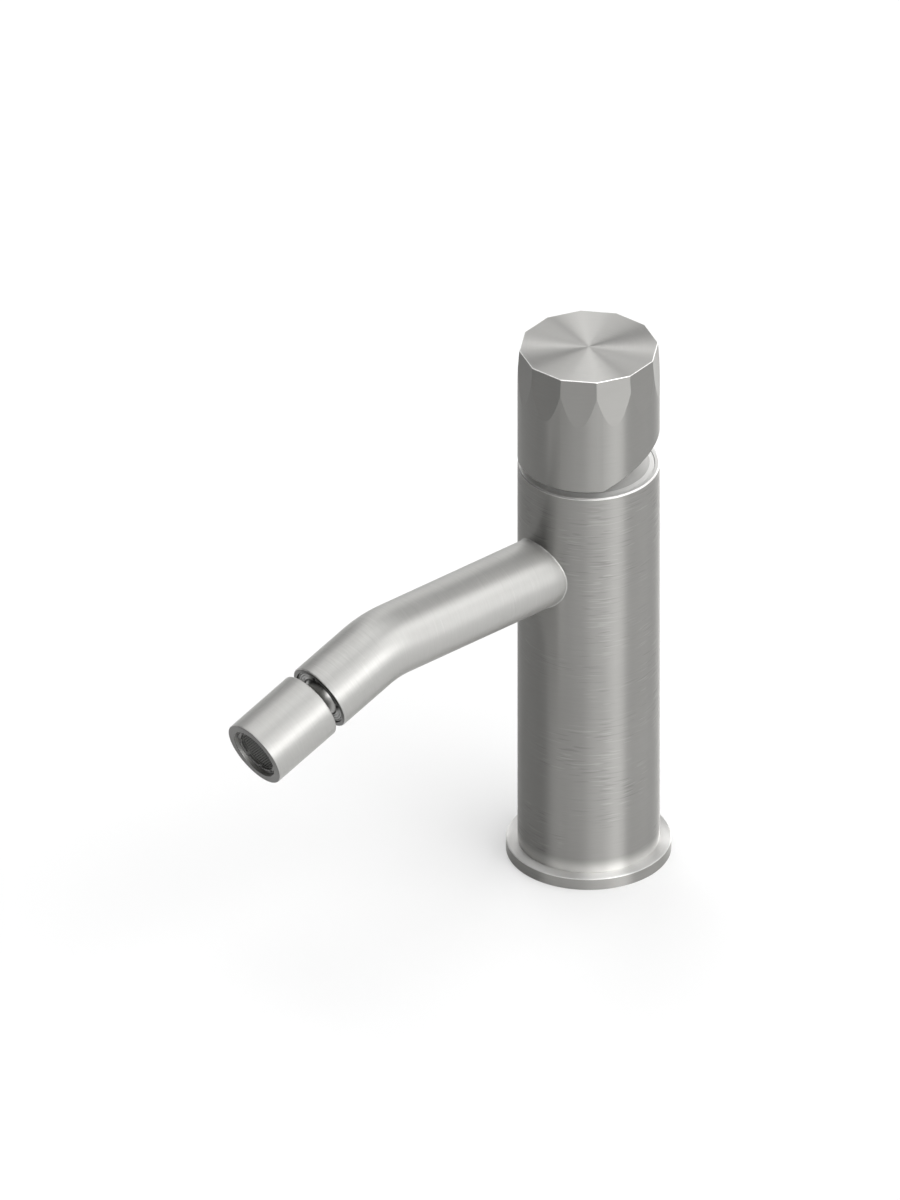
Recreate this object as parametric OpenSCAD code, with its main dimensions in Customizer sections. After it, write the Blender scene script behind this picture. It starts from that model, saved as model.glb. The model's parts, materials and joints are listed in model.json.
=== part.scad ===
// Single-lever deck mixer with a faceted knob, a bent tube spout and a swivelling outlet.
// Millimetres. The origin is the centre of the foot's underside, +Z is up and the spout points to -Y.

/* [Foot] */
// How far the foot ring stands out past the column
base_lip = 3.5; // [2.5:0.1:8]
// Thickness of the foot ring
base_t = 3.9; // [3:0.1:8]
// Bevel on the foot ring's upper edge
base_edge = 0.25; // [0.1:0.05:0.8]
// Mean diameter of the seal under the foot
seal_d = 41; // [39:0.1:42.5]
// Width of the seal under the foot
seal_w = 3; // [2:0.1:3.4]
// Depth of the seal under the foot
seal_t = 2; // [1:0.1:2.4]
// Diameter of the core's spigot in the foot ring
spigot_d = 32; // [29:0.1:34]

/* [Column] */
// Outer diameter of the column
column_d = 43; // [42.6:0.1:48]
// Height of the column's rim above the deck
column_h = 136.1; // [120:0.1:180]
// Wall of the column's tube
column_wall = 1.5; // [1:0.1:1.8]
// Bevel on the rim
rim_bevel = 0.4; // [0.1:0.05:0.8]

/* [Core] */
// Diameter of the core between its head and its foot
waist_d = 31; // [27:0.5:36]
// Height of the core's foot above the foot ring
core_foot_h = 24; // [20:0.5:30]
// Distance of the core's top below the rim
core_drop = 6; // [5:0.1:8]
// Material left between the spout's seal and the cartridge
port_web = 1.4; // [1:0.1:1.8]
// Diameter of the waterways inside the core
waterway_d = 4.2; // [3.6:0.1:4.4]

/* [Deck fixing and inlets] */
// Inner diameter of each inlet thread, M10x1
inlet_d = 9; // [8:0.1:10]
// Depth of each inlet thread
inlet_depth = 14; // [8:0.5:24]
// Distance of each inlet from the middle plane
inlet_x = 7.4; // [6.8:0.1:9]
// Inner diameter of the fixing stud's thread, M8
stud_d = 6.8; // [5:0.1:8.5]
// Depth of the fixing stud's thread
stud_depth = 22; // [12:0.5:40]
// Distance of the fixing stud behind the column's axis
stud_y = 9; // [8:0.1:10]

/* [Spout] */
// Outer diameter of the spout's tube
spout_d = 22; // [21.4:0.1:24]
// Wall of the spout's tube
spout_wall = 1.5; // [1:0.1:1.7]
// Distance of the spout's axis below the rim
spout_drop = 30.8; // [30.2:0.1:45]
// Distance from the column's axis to the corner of the bend
spout_reach = 84.1; // [60:0.1:140]
// How far the outer part of the spout points down
spout_bend = 20; // [10:0.5:35]
// Radius of the bend at the tube's centre line
bend_r = 33; // [25:0.5:45]
// How much bending draws the tube's radius in
bend_draw = 0.01; // [0.005:0.005:0.1]
// Length of the outer part from the corner of the bend
spout_tail = 25.7; // [24:0.1:50]
// Rounding of the tube's end and of the barrel's edges
lip_round = 0.45; // [0.1:0.05:0.8]
// Thickness of the flat seal at the spout's root
spout_seal_t = 1.2; // [0.8:0.1:2]

/* [Cartridge] */
// Diameter of the cartridge
cart_d = 25; // [24.4:0.1:25.4]
// Wall of the cartridge's housing
cart_wall = 1.4; // [1:0.1:1.6]
// Height of the cartridge from its seat to its shoulder
cart_h = 21; // [20.8:0.1:21.2]
// Diameter of the cartridge's neck
neck_d = 20.8; // [20.2:0.1:21]
// Height of the cartridge's neck
neck_h = 6; // [4:0.1:7]
// Height of the tilt axis above the cartridge's seat
pivot_h = 19; // [18.6:0.1:19.2]
// Diameter of the pivot pin
pin_d = 2.5; // [1.5:0.1:3]
// Thickness of each ceramic disc
disc_t = 3; // [2.6:0.1:3.1]
// Room round the moving disc for its slide
disc_room = 1.7; // [1.6:0.05:1.9]
// Distance that the moving disc starts behind the axis
disc_start = 1.3; // [1.2:0.05:1.4]
// Width of the stem's square shank
stem_w = 7; // [5.5:0.1:7.4]
// Diameter of the ball at the stem's lower end
stem_ball_d = 4; // [3.2:0.1:4.4]

/* [Nut and cap] */
// Depth of the nut's thread in the core
nut_depth = 5; // [4:0.1:6]
// Height of the nut's hexagon
hex_h = 3; // [2:0.1:3.2]
// Width of the nut across its flats
hex_af = 25; // [22.5:0.1:25.6]
// Diameter of the nut's thread
nut_d = 29.8; // [28.5:0.1:31]
// How far the cap's edge lies below the rim
cap_sink = 0.5; // [0.2:0.1:1]
// Height of the cap's dome
cap_rise = 2; // [1:0.1:2.4]
// Diameter of the opening in the cap
cap_hole_d = 23; // [21:0.1:25]
// Thickness of the cap's dome near its edge
cap_t = 0.8; // [0.6:0.1:1.6]

/* [Knob] */
// Diameter of the knob
knob_d = 43; // [42:0.1:46]
// Height of the knob
knob_h = 38.6; // [30:0.1:60]
// Gap between the rim and the knob
knob_gap = 2.4; // [2.2:0.1:6]
// Wall of the knob's skirt
skirt_wall = 3.3; // [2.6:0.1:3.5]
// Number of facets around the knob
facets = 12; // [8:1:16]
// How deep each facet cuts in at the top
facet_depth = 1.12; // [0.3:0.02:1.6]
// Slope of each facet from the vertical
facet_slope = 4; // [2:0.5:8]
// Bevel round the knob's top
knob_bevel = 0.3; // [0.1:0.05:0.6]
// Slope of the relief under the knob's rear
relief_slope = 26.85; // [24:0.05:40]
// Distance behind the axis where the relief starts
relief_start = 2; // [0:0.1:2.5]
// How far the knob tilts back, which its slots leave room for
knob_tilt = 22; // [15:0.5:22]
// How far the knob is turned from its middle position, clockwise from above
knob_turn = 34.7; // [-50:0.1:50]
// Height of the space inside the skirt
skirt_h = 13.5; // [12.5:0.1:20]
// Diameter of the insert in the knob
insert_d = 27.8; // [20:0.1:32]
// Height of the insert's body
insert_h = 14; // [8:0.1:14]
// Diameter of the insert's hub
hub_d = 16; // [13:0.1:16.5]
// How far the hub stands above the knob's lower edge
hub_lift = 3.5; // [3.5:0.1:5]
// Diameter of the grub screw
grub_d = 4; // [3:0.5:4.5]
// Height of the grub screw above the hub's lower edge
grub_lift = 3; // [2.6:0.1:4]

/* [Swivel] */
// Diameter of the ball
ball_d = 14.4; // [13.6:0.1:14.6]
// Distance of the ball's centre inside the spout's end
ball_sink = 3.7; // [3.4:0.1:4.5]
// Gap between the spout's end and the barrel
swivel_gap = 3.5; // [3.4:0.1:6]
// Diameter of the ball's neck
ball_neck_d = 9.2; // [7.4:0.1:9.6]
// Diameter of the ball's bore
ball_bore_d = 6; // [4:0.1:6.4]
// Diameter of the thread that joins the ball and the barrel
ball_thread_d = 12; // [10:0.1:13]
// Length of that thread
ball_thread_l = 4; // [3:0.1:5]
// How far the ring nut lies inside the spout's end
ring_sink = 0.5; // [0.3:0.1:1]

/* [Outlet] */
// Length of the barrel
barrel_l = 24.3; // [23.6:0.1:40]
// Diameter of the barrel's mouth
mouth_d = 16.8; // [14:0.1:18]
// How far the aerator lies inside the barrel's mouth
aerator_sink = 1.1; // [0.5:0.1:2]
// Wall of the aerator's housing
aerator_wall = 2; // [1.4:0.1:2.2]
// Number of notches in the aerator's ring
notches = 8; // [6:1:16]
// Width of the notches in the aerator's ring
notch_w = 2; // [1:0.1:2.2]
// Turn of the first notch round the outlet's axis
notch_turn = 35; // [0:1:90]
// Depth of the notches in the aerator's ring
notch_depth = 1.2; // [0.6:0.1:2]
// Rows of holes round the middle of the outlet's screen
screen_rings = 4; // [2:1:4]

/* [Clearances] */
// Radial gap between two fixed pieces
fit_gap = 0.1; // [0.02:0.01:0.15]
// Radial gap between the core and the column's tube
core_gap = 0.2; // [0.1:0.05:0.4]
// Radial gap round a piece that turns or slides
slide_gap = 0.2; // [0.1:0.02:0.25]
// Radial gap round the pivot pin
pin_gap = 0.05; // [0.02:0.01:0.08]
// Gap between the two ceramic discs
film_gap = 0.05; // [0.02:0.01:0.1]

/* [Hidden] */
$fn = 96;

// Overshoot of a cut past the surface that it opens
cut = 1;
// Facets of a small circle, and of the cap's large sphere
small_fn = 48;
dome_fn = 200;

// Radii of the column and the foot
column_r = column_d / 2;
column_ir = column_r - column_wall;
base_r = column_r + base_lip;
core_r = column_ir - core_gap;

// Heights of the core and the cartridge
core_top = column_h - core_drop;
shoulder_z = core_top - nut_depth;
seat_z = shoulder_z - cart_h;
pivot_z = seat_z + pivot_h;
spout_z = column_h - spout_drop;
head_below = 6;
channel_rise = 0.6;

// The spout's root seats in a side port of the core
spout_r = spout_d / 2;
spout_ir = spout_r - spout_wall;
cart_bore_r = cart_d / 2 + fit_gap;
port_y = cart_bore_r + port_web;
root_y = port_y + spout_seal_t;
tangent = bend_r * tan(spout_bend / 2);
seam = 0.05;

// The cartridge's ports, in front for the inlets and behind for the outlet
port_inset = 6.5;
port_x = cart_d / 2 - cart_wall - port_inset;
port_front = 3.7;
port_back = 3;
in_port_r = 1.9;
out_port_r = 2.4;
port_seal_w = 1.2;
inlet_y = 3.6;
base_foot_t = 1.8;
base_plate_t = 3;
gasket_t = 0.8;
peg_x = 7.6;
peg_y = 4.4;
peg_r = 1.1;
peg_l = 2;

// Levels inside the cartridge, upwards from its seat
housing_ir = cart_d / 2 - cart_wall;
moving_disc_d = 2 * (housing_ir - disc_room);
fixed_z = seat_z + base_plate_t + gasket_t;
moving_z = fixed_z + disc_t + film_gap;
carrier_z = moving_z + disc_t;
carrier_h = 3.6;
flange_z = carrier_z + carrier_h + slide_gap;
flange_h = 2;
step_z = flange_z + flange_h + slide_gap;
neck_wall = 1.7;
rotor_rise = 1.2;
ball_lift = 2.4;
neck_ir = neck_d / 2 - neck_wall;
rotor_r = neck_ir - slide_gap;
rotor_top = core_top + rotor_rise;
rotor_web = 2;
pin_short = 1;
ball_level = carrier_z + ball_lift;

// The chamber in the moving disc, and the carrier's flats
chamber_r = 3.7;
chamber_depth = 1.8;
key_x = 6;
key_r = 1;
key_l = 1;
pocket_floor = 0.3;
carrier_flat_x = 7;
lug_h = 3;
lug_w = 2.2;
lug_l = 8;

// The nut and the cap
nut_r = nut_d / 2;
nut_bore_r = neck_d / 2 + fit_gap;
cap_r = column_ir - fit_gap;
cap_edge_z = column_h - cap_sink;
cap_hole_r = cap_hole_d / 2;
cap_span = cap_r * cap_r - cap_hole_r * cap_hole_r;
dome_low = (cap_span / cap_rise - cap_rise) / 2;
dome_r = sqrt(dome_low * dome_low + cap_r * cap_r);
cap_skirt = 2.8;
cap_ring_d = 1.2;
cap_ring_lift = 2;
cap_ring_z = core_top + cap_ring_lift;
cap_ring_at = column_ir - film_gap - cap_ring_d / 2;

// The knob, with its skirt above the rim
knob_r = knob_d / 2;
knob_z = column_h + knob_gap;
knob_top = knob_z + knob_h;
skirt_ir = knob_r - skirt_wall;
skirt_top = knob_z + skirt_h;
insert_r = insert_d / 2;
hub_z = knob_z + hub_lift;
hub_r = hub_d / 2;
stem_short = 2;
stem_top = skirt_top - stem_short;
shank_r = 1.3;
shank_lift = 1;
pivot_block_r = 3.3;
pivot_block_w = 9;
socket_af = 2;

// The swivel, measured from the ball's centre along the outlet's axis
ball_r = ball_d / 2;
ball_at = spout_tail - ball_sink;
cup_r = ball_r + slide_gap;
ring_face = ball_sink - ring_sink;
ring_back = -1.5;
ring_r = spout_ir - fit_gap;
glide_front = -2;
glide_back = -5.2;
glide_r = spout_ir - slide_gap;
seat_front = glide_back - film_gap;
seat_l = 2.8;
water_r = ball_bore_d / 2 + 1;
slot_w = 2;
slot_depth = 0.8;
ball_seal_r = 0.6;
ball_seal_s = -3.6;
ball_seal_proud = 0.08;
ball_seal_at = sqrt(pow(cup_r + ball_seal_r - ball_seal_proud, 2) - pow(ball_seal_s, 2));

// The barrel and what it holds, measured from the ball's centre
barrel_top = ball_sink + swivel_gap;
barrel_end = barrel_top + barrel_l;
barrel_r = spout_r;
thread_lead = 0.4;
thread_start = barrel_top + thread_lead;
bore_start = thread_start + ball_thread_l;
mouth_r = mouth_d / 2;
aerator_r = mouth_r - fit_gap;
aerator_ir = aerator_r - aerator_wall;
strainer_h = 3;
strainer_s = bore_start + thread_lead;
strainer_wall = 1.2;
strainer_floor = 1;
strainer_mid_r = 1.6;
strainer_holes = 8;
strainer_hole_r = 1.1;
strainer_hole_at = 4.4;
gasket_s = strainer_s + strainer_h;
gasket_h = 1.4;
aerator_s = gasket_s + gasket_h;
aerator_end = barrel_end - aerator_sink;
screen_t = 0.8;
screen_s = aerator_end - notch_depth - screen_t;
screen_r = aerator_ir - fit_gap;
screen_edge = 0.75;
screen_open = 0.44;
jet_lead = 1.5;
jet_s = aerator_s + jet_lead;
jet_t = 2;
jet_rings = 2;
jet_pitch = 2.2;
jet_hole_d = 1.1;
shelf = 0.8;

// Colours of the materials
steel = "#a9a8a4";
turned = "#b4b3af";
brass = "#c4a24c";
chrome = "#d6d8da";
rubber = "#222222";
plastic = "#e4e2da";
dark_plastic = "#3c3d3c";
ceramic = "#f3f0e8";
alloy = "#8d8f92";
dark_steel = "#55575a";
mesh_steel = "#6f7172";
grey_plastic = "#7c7d7a";

// Places its children on the knob's own axes, turned as the knob stands at rest
module at_knob() {
  rotate([0, 0, -knob_turn]) children();
}

// Places its children at a distance from the bend's corner along the outlet's axis
module at_outlet(s) {
  translate([0, -spout_reach, spout_z]) rotate([90 + spout_bend, 0, 0]) translate([0, 0, s]) children();
}

// Places its children at a distance from the ball's centre along the outlet's axis
module at_ball(s) {
  at_outlet(ball_at + s) children();
}

// A plain ring standing on its own base
module ring(outer_r, inner_r, h) {
  difference() {
    cylinder(r = outer_r, h = h);
    translate([0, 0, -cut]) cylinder(r = inner_r, h = h + 2 * cut);
  }
}

// Half of the section of a tube, with its outer edges rounded where a radius is given
module tube_section(outer_r, inner_r, h, low_round, high_round) {
  difference() {
    translate([inner_r, 0]) square([outer_r - inner_r, h]);
    if (high_round > 0) translate([outer_r - high_round, h - high_round]) edge_waste(high_round);
    if (low_round > 0) translate([outer_r - low_round, low_round]) mirror([0, 1]) edge_waste(low_round);
  }
}

// What a rounded edge of the given radius takes off a square corner
module edge_waste(r) {
  difference() {
    square(r + cut);
    circle(r, $fn = small_fn);
  }
}

module base_flange() {
  groove_r = seal_d / 2;
  color(steel) difference() {
    rotate_extrude() polygon([
      [spigot_d / 2 + fit_gap, 0], [base_r, 0], [base_r, base_t - base_edge],
      [base_r - base_edge, base_t], [spigot_d / 2 + fit_gap, base_t]
    ]);
    translate([0, 0, -cut])
      ring(groove_r + seal_w / 2 + fit_gap, groove_r - seal_w / 2 - fit_gap, seal_t + cut);
  }
}

module base_seal() {
  color(rubber) ring(seal_d / 2 + seal_w / 2, seal_d / 2 - seal_w / 2, seal_t);
}

module column_shell() {
  color(steel) difference() {
    rotate_extrude() polygon([
      [column_ir, base_t], [column_r, base_t], [column_r, column_h - rim_bevel],
      [column_r - rim_bevel, column_h], [column_ir, column_h]
    ]);
    translate([0, 0, spout_z]) rotate([90, 0, 0]) cylinder(r = spout_r + fit_gap / 2, h = column_d);
  }
}

module valve_core() {
  waist_z = base_t + core_foot_h;
  head_z = spout_z - spout_r - head_below;
  channel_r = waterway_d / 2;
  channel_z = spout_z - spout_ir + channel_r + channel_rise;
  color(brass) difference() {
    union() {
      cylinder(r = spigot_d / 2, h = base_t + cut);
      translate([0, 0, base_t]) cylinder(r = core_r, h = waist_z - base_t);
      cylinder(r = waist_d / 2, h = core_top - cut);
      translate([0, 0, head_z]) cylinder(r = core_r, h = core_top - head_z);
    }
    translate([0, 0, seat_z]) cylinder(r = cart_bore_r, h = core_top);
    translate([0, 0, shoulder_z]) cylinder(r = nut_r + fit_gap, h = core_top);
    translate([0, -port_y, spout_z]) rotate([90, 0, 0]) cylinder(r = spout_r + fit_gap / 2, h = column_d);
    for (side = [-1, 1]) {
      translate([side * inlet_x, -inlet_y, -cut]) cylinder(d = inlet_d, h = inlet_depth + cut);
      translate([side * port_x, -port_front, inlet_depth - cut]) cylinder(r = in_port_r, h = seat_z);
      translate([side * peg_x, peg_y, seat_z - peg_l - fit_gap]) cylinder(r = peg_r + fit_gap, h = peg_l + cut);
    }
    translate([0, stud_y, -cut]) cylinder(d = stud_d, h = stud_depth + cut);
    translate([0, port_back, channel_z]) cylinder(r = channel_r, h = seat_z);
    translate([0, port_back, channel_z]) rotate([90, 0, 0])
      cylinder(r = channel_r, h = port_back + port_y + cut);
    translate([0, port_back, channel_z]) sphere(r = channel_r);
  }
}

// A rod along the spout's centre line, whose straight parts run a seam's width into the bend
module spout_rod(r, start_y, over) {
  translate([0, -start_y, spout_z]) rotate([90, 0, 0])
    cylinder(r = r, h = spout_reach - tangent - start_y + seam);
  translate([0, -(spout_reach - tangent), spout_z - bend_r]) rotate([0, 90, 0]) rotate([0, 0, 180])
    rotate_extrude(angle = spout_bend) translate([bend_r, 0]) circle(r - bend_draw);
  at_outlet(tangent - seam) cylinder(r = r, h = spout_tail - tangent + seam + over);
}

module spout_tube() {
  color(steel) difference() {
    spout_rod(spout_r, root_y, 0);
    spout_rod(spout_ir, root_y - cut, cut);
    at_outlet(spout_tail - lip_round) rotate_extrude()
      translate([spout_r - lip_round, 0]) edge_waste(lip_round);
  }
}

module spout_seal() {
  color(rubber) translate([0, -port_y, spout_z]) rotate([90, 0, 0])
    ring(spout_r - fit_gap, spout_ir + fit_gap, spout_seal_t);
}

// The three ports of the cartridge, as holes of the given extra radius
module ports(extra, h) {
  for (side = [-1, 1]) translate([side * port_x, -port_front, 0]) cylinder(r = in_port_r + extra, h = h);
  translate([0, port_back, 0]) cylinder(r = out_port_r + extra, h = h);
}

module cartridge_base() {
  color(plastic) difference() {
    union() {
      translate([0, 0, seat_z]) cylinder(d = cart_d, h = base_foot_t);
      translate([0, 0, seat_z]) cylinder(r = housing_ir - fit_gap, h = base_plate_t);
      for (side = [-1, 1]) translate([side * peg_x, peg_y, seat_z - peg_l])
        cylinder(r = peg_r, h = peg_l + cut);
    }
    translate([0, 0, seat_z - cut]) ports(0, base_plate_t + 2 * cut);
    translate([0, 0, seat_z - cut]) ports(port_seal_w + fit_gap, port_seal_w + cut);
  }
}

module port_seals() {
  color(rubber) translate([0, 0, seat_z]) difference() {
    ports(port_seal_w, port_seal_w);
    translate([0, 0, -cut]) ports(0, port_seal_w + 2 * cut);
  }
}

module disc_gasket() {
  color(rubber) translate([0, 0, seat_z + base_plate_t]) difference() {
    cylinder(r = housing_ir - fit_gap, h = gasket_t);
    translate([0, 0, -cut]) ports(0, gasket_t + 2 * cut);
  }
}

module fixed_disc() {
  color(ceramic) translate([0, 0, fixed_z]) difference() {
    cylinder(r = housing_ir - fit_gap, h = disc_t);
    translate([0, 0, -cut]) ports(0, disc_t + 2 * cut);
  }
}

module cartridge_housing() {
  color(plastic) difference() {
    union() {
      translate([0, 0, seat_z + base_foot_t]) cylinder(d = cart_d, h = cart_h - base_foot_t);
      translate([0, 0, shoulder_z - cut]) cylinder(d = neck_d, h = neck_h + cut);
    }
    translate([0, 0, seat_z]) cylinder(r = housing_ir, h = step_z - seat_z);
    translate([0, 0, seat_z]) cylinder(r = neck_ir, h = cart_h + neck_h + cut);
  }
}

module cartridge_nut() {
  color(brass) difference() {
    union() {
      translate([0, 0, shoulder_z]) cylinder(r = nut_r, h = nut_depth);
      translate([0, 0, shoulder_z]) cylinder(r = hex_af / 2 / cos(30), h = nut_depth + hex_h, $fn = 6);
    }
    translate([0, 0, shoulder_z - cut]) cylinder(r = nut_bore_r, h = nut_depth + hex_h + 2 * cut);
  }
}

module cover_cap() {
  color(turned) difference() {
    intersection() {
      translate([0, 0, core_top]) cylinder(r = cap_r, h = column_h);
      translate([0, 0, cap_edge_z - dome_low]) sphere(r = dome_r, $fn = dome_fn);
    }
    translate([0, 0, core_top - cut]) cylinder(r = cap_hole_r, h = column_h);
    translate([0, 0, core_top - cut]) cylinder(r = cap_r - cap_skirt, h = cap_edge_z - cap_t - core_top + cut);
    translate([0, 0, cap_ring_z]) rotate_extrude() translate([cap_ring_at, 0])
      circle(d = cap_ring_d + fit_gap, $fn = small_fn);
  }
}

module cap_ring() {
  color(rubber) translate([0, 0, cap_ring_z]) rotate_extrude() translate([cap_ring_at, 0])
    circle(d = cap_ring_d, $fn = small_fn);
}

module swivel_seat() {
  color(brass) difference() {
    at_ball(seat_front - seat_l) ring(ring_r, water_r, seat_l);
    at_ball(0) sphere(r = cup_r);
  }
}

module swivel_nut() {
  color(chrome) difference() {
    at_ball(ring_back) ring(ring_r, ball_bore_d / 2, ring_face - ring_back);
    at_ball(0) sphere(r = cup_r);
    at_ball(ring_back - cut) cylinder(r = cup_r, h = cut - ring_back);
    for (turn = [0, 90]) at_ball(ring_face - slot_depth) rotate([0, 0, turn])
      translate([-spout_r, -slot_w / 2, 0]) cube([spout_d, slot_w, slot_depth + cut]);
  }
}

module rotor() {
  block_x = pivot_block_w / 2 + slide_gap;
  block_y = max(pivot_block_r, norm([stem_w / 2, shank_lift])) + slide_gap;
  stem_x = stem_w / 2 + slide_gap;
  lug_x = carrier_flat_x + slide_gap + lug_w / 2;
  lean = (rotor_top - pivot_z) * tan(knob_tilt) + stem_w / 2 * (1 / cos(knob_tilt) - 1);
  swing = (pivot_z - ball_level) * sin(knob_tilt) + stem_ball_d / 2 + slide_gap;
  color(dark_plastic) at_knob() difference() {
    union() {
      translate([0, 0, flange_z]) cylinder(r = housing_ir - slide_gap, h = flange_h);
      translate([0, 0, flange_z]) cylinder(r = rotor_r, h = rotor_top - flange_z);
      for (side = [-1, 1]) translate([side * lug_x - lug_w / 2, -lug_l / 2, flange_z - lug_h])
        cube([lug_w, lug_l, lug_h + cut]);
    }
    translate([-block_x, -swing, flange_z - cut])
      cube([2 * block_x, swing + block_y, pivot_z - flange_z - rotor_web]);
    translate([-block_x, -block_y, flange_z]) cube([2 * block_x, 2 * block_y, core_top]);
    translate([-stem_x, -stem_x, pivot_z]) cube([2 * stem_x, 2 * stem_x + lean, core_top]);
    translate([0, 0, pivot_z]) rotate([0, 90, 0]) cylinder(d = pin_d + pin_gap, h = column_d, center = true);
  }
}

module pivot_pin() {
  color(chrome) at_knob() translate([0, 0, pivot_z]) rotate([0, 90, 0])
    cylinder(d = pin_d, h = 2 * rotor_r - pin_short, center = true);
}

module moving_disc() {
  color(ceramic) at_knob() translate([0, disc_start, moving_z]) difference() {
    cylinder(d = moving_disc_d, h = disc_t);
    translate([0, 0, -cut]) cylinder(r = chamber_r, h = chamber_depth + cut);
    for (side = [-1, 1]) translate([side * key_x, 0, disc_t - key_l - fit_gap])
      cylinder(r = key_r + fit_gap, h = key_l + cut);
  }
}

module disc_carrier() {
  color(dark_plastic) at_knob() translate([0, disc_start, carrier_z]) difference() {
    union() {
      intersection() {
        cylinder(d = moving_disc_d - 2 * fit_gap, h = carrier_h);
        translate([0, 0, carrier_h / 2]) cube([2 * carrier_flat_x, moving_disc_d, carrier_h], center = true);
      }
      for (side = [-1, 1]) translate([side * key_x, 0, -key_l]) cylinder(r = key_r, h = key_l + cut);
    }
    translate([0, -disc_start, pocket_floor]) cylinder(r = stem_ball_d / 2 + slide_gap, h = carrier_h);
  }
}

module stem() {
  color(chrome) at_knob() difference() {
    union() {
      translate([0, 0, ball_level]) sphere(d = stem_ball_d);
      translate([0, 0, ball_level]) cylinder(r = shank_r, h = pivot_z - ball_level);
      translate([0, 0, pivot_z]) rotate([0, 90, 0])
        cylinder(r = pivot_block_r, h = pivot_block_w, center = true);
      translate([-stem_w / 2, -stem_w / 2, pivot_z + shank_lift])
        cube([stem_w, stem_w, stem_top - pivot_z - shank_lift]);
    }
    translate([0, 0, pivot_z]) rotate([0, 90, 0]) cylinder(d = pin_d + 2 * pin_gap, h = column_d, center = true);
  }
}

// The grub screw's place, with its length along the knob's rear direction
module at_grub() {
  translate([0, stem_w / 2 + fit_gap, hub_z + grub_lift]) rotate([-90, 0, 0]) children();
}

module knob_insert() {
  socket = stem_w + 2 * fit_gap;
  color(alloy) at_knob() difference() {
    union() {
      translate([0, 0, hub_z]) cylinder(r = hub_r, h = skirt_top - hub_z + cut);
      translate([0, 0, skirt_top]) cylinder(r = insert_r, h = insert_h);
    }
    translate([-socket / 2, -socket / 2, hub_z - cut]) cube([socket, socket, stem_top - hub_z + cut + fit_gap]);
    at_grub() cylinder(d = grub_d + 2 * fit_gap, h = hub_d);
  }
}

module grub_screw() {
  l = hub_r - stem_w / 2 - fit_gap;
  color(dark_steel) at_knob() at_grub() difference() {
    cylinder(d = grub_d, h = l);
    translate([0, 0, l / 2]) cylinder(r = socket_af / 2 / cos(30), h = l, $fn = 6);
  }
}

module knob_shell() {
  apothem = knob_r - facet_depth;
  face_w = knob_d;
  color(steel) at_knob() difference() {
    translate([0, 0, knob_z]) cylinder(r = knob_r, h = knob_h);
    translate([0, 0, knob_z - cut]) cylinder(r = skirt_ir, h = skirt_h + cut);
    translate([0, 0, skirt_top - cut]) cylinder(r = insert_r + fit_gap, h = insert_h + fit_gap + cut);
    for (i = [0:facets - 1]) rotate([0, 0, 90 + (i + 0.5) * 360 / facets]) translate([apothem, 0, knob_top]) {
      rotate([0, -facet_slope, 0]) translate([0, -face_w / 2, -knob_h]) cube([knob_r, face_w, knob_h + cut]);
      translate([-knob_bevel, 0, 0]) rotate([0, 45, 0]) translate([-cut, -face_w / 2, 0])
        cube([knob_r, face_w, knob_r]);
    }
    translate([0, relief_start, knob_z]) rotate([relief_slope, 0, 0]) translate([-knob_d, 0, -knob_d])
      cube([2 * knob_d, 2 * knob_d, knob_d]);
  }
}

module glide_ring() {
  color(plastic) difference() {
    at_ball(glide_back) ring(glide_r, water_r, glide_front - glide_back);
    at_ball(0) sphere(r = cup_r);
    at_ball(ball_seal_s) rotate_extrude() translate([ball_seal_at, 0])
      circle(ball_seal_r + fit_gap / 2, $fn = small_fn);
  }
}

module ball_seal() {
  color(rubber) at_ball(ball_seal_s) rotate_extrude() translate([ball_seal_at, 0])
    circle(ball_seal_r, $fn = small_fn);
}

module ball_stud() {
  color(chrome) difference() {
    union() {
      at_ball(0) sphere(r = ball_r);
      at_ball(0) cylinder(d = ball_neck_d, h = thread_start + cut);
      at_ball(thread_start) cylinder(d = ball_thread_d, h = ball_thread_l);
    }
    at_ball(-ball_r - cut) cylinder(d = ball_bore_d, h = ball_r + thread_start + ball_thread_l + 2 * cut);
  }
}

module outlet_barrel() {
  color(steel) difference() {
    at_ball(barrel_top) rotate_extrude()
      tube_section(barrel_r, ball_thread_d / 2 + fit_gap, barrel_l, lip_round, lip_round / 2);
    at_ball(bore_start) cylinder(r = mouth_r, h = barrel_l);
  }
}

module inlet_strainer() {
  color(plastic) at_ball(strainer_s) difference() {
    cylinder(r = aerator_r, h = strainer_h);
    translate([0, 0, strainer_floor]) cylinder(r = aerator_r - strainer_wall, h = strainer_h);
    translate([0, 0, -cut]) cylinder(r = strainer_mid_r, h = strainer_h);
    for (i = [0:strainer_holes - 1]) rotate([0, 0, i * 360 / strainer_holes])
      translate([strainer_hole_at, 0, -cut]) cylinder(r = strainer_hole_r, h = strainer_h);
  }
}

module outlet_gasket() {
  color(rubber) at_ball(gasket_s) ring(aerator_r, aerator_ir, gasket_h);
}

// Points of a hexagonal grid inside a number of rings round the middle
function hex_grid(rings, pitch) = [
  for (a = [-rings:rings], b = [-rings:rings]) if (abs(a + b) <= rings)
    [pitch * (a + b / 2), pitch * b * sin(60)]
];

module jet_plate() {
  color(dark_plastic) at_ball(jet_s) difference() {
    cylinder(r = screen_r, h = jet_t);
    for (p = hex_grid(jet_rings, jet_pitch)) translate([p[0], p[1], -cut])
      cylinder(d = jet_hole_d, h = jet_t + 2 * cut);
  }
}

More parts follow.
